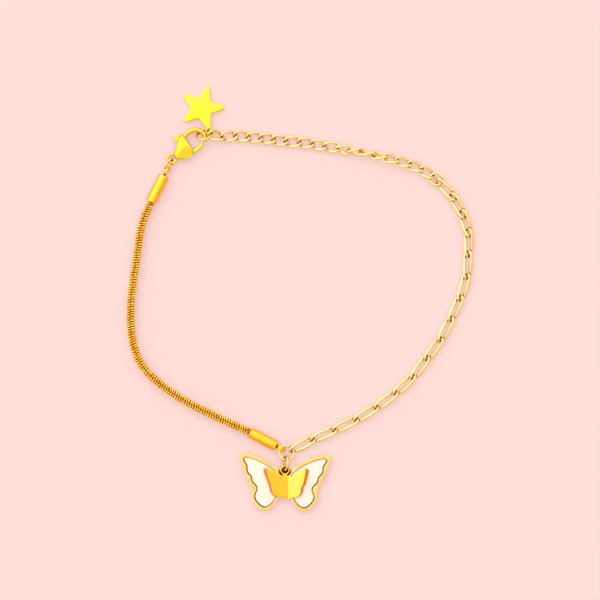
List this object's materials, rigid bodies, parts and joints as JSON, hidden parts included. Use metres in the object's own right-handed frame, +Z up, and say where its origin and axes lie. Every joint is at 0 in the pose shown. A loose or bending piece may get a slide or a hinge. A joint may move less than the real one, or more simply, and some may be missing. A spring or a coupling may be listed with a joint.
{
  "type": "charm bracelet",
  "caption": "Gold charm bracelet lying fastened: popcorn chain, long-link chain, butterfly pendant with shell wings, lobster clasp and extender chain with a star tag.",
  "frame": {"origin": "on the surface that the bracelet lies on, under the middle of its bounding box", "axes": "+Y from the butterfly pendant's side to the extender chain's side, +X from the popcorn chain to the long-link chain, +Z up from the surface"},
  "size_m": [0.073, 0.089, 0.0029],
  "materials": {
    "gold": "polished gold plating",
    "pale_gold": "polished gold plating on links and rings",
    "lemon_gold": "bright satin gold plating",
    "rich_gold": "stamped popcorn chain with gold plating",
    "mother_of_pearl": "glossy mother-of-pearl inlay"
  },
  "bodies": {
    "bracelet": {"cap_upper": "gold", "cap_lower": "gold", "clasp_body": "gold", "butterfly_pendant": "gold", "clasp_link": "pale_gold", "centre_ring": "pale_gold", "pendant_ring": "pale_gold", "extender_ring": "pale_gold", "end_ring": "pale_gold", "paperclip_link_01": "pale_gold", "paperclip_link_02": "pale_gold", "paperclip_link_03": "pale_gold", "paperclip_link_04": "pale_gold", "paperclip_link_05": "pale_gold", "paperclip_link_06": "pale_gold", "paperclip_link_07": "pale_gold", "paperclip_link_08": "pale_gold", "paperclip_link_09": "pale_gold", "paperclip_link_10": "pale_gold", "paperclip_link_11": "pale_gold", "paperclip_link_12": "pale_gold", "paperclip_link_13": "pale_gold", "paperclip_link_14": "pale_gold", "paperclip_link_15": "pale_gold", "paperclip_link_16": "pale_gold", "extender_link_01": "pale_gold", "extender_link_02": "pale_gold", "extender_link_03": "pale_gold", "extender_link_04": "pale_gold", "extender_link_05": "pale_gold", "extender_link_06": "pale_gold", "extender_link_07": "pale_gold", "extender_link_08": "pale_gold", "extender_link_09": "pale_gold", "extender_link_10": "pale_gold", "extender_link_11": "pale_gold", "extender_link_12": "pale_gold", "extender_link_13": "pale_gold", "extender_link_14": "pale_gold", "extender_link_15": "pale_gold", "extender_link_16": "pale_gold", "extender_link_17": "pale_gold", "extender_link_18": "pale_gold", "popcorn_chain": "rich_gold", "star_tag": "lemon_gold", "shell_left": "mother_of_pearl", "shell_right": "mother_of_pearl"},
    "lever": {"clasp_lever": "gold"}
  },
  "joints": [
    {"name": "clasp_lever_hinge", "type": "hinge", "parent": "bracelet", "child": "lever", "pos_m": [-0.02361, 0.03105, 0.00101], "axis": [0, 0, 1], "range_deg": [0, 20], "stiffness_Nm_per_rad": 0.002}
  ]
}
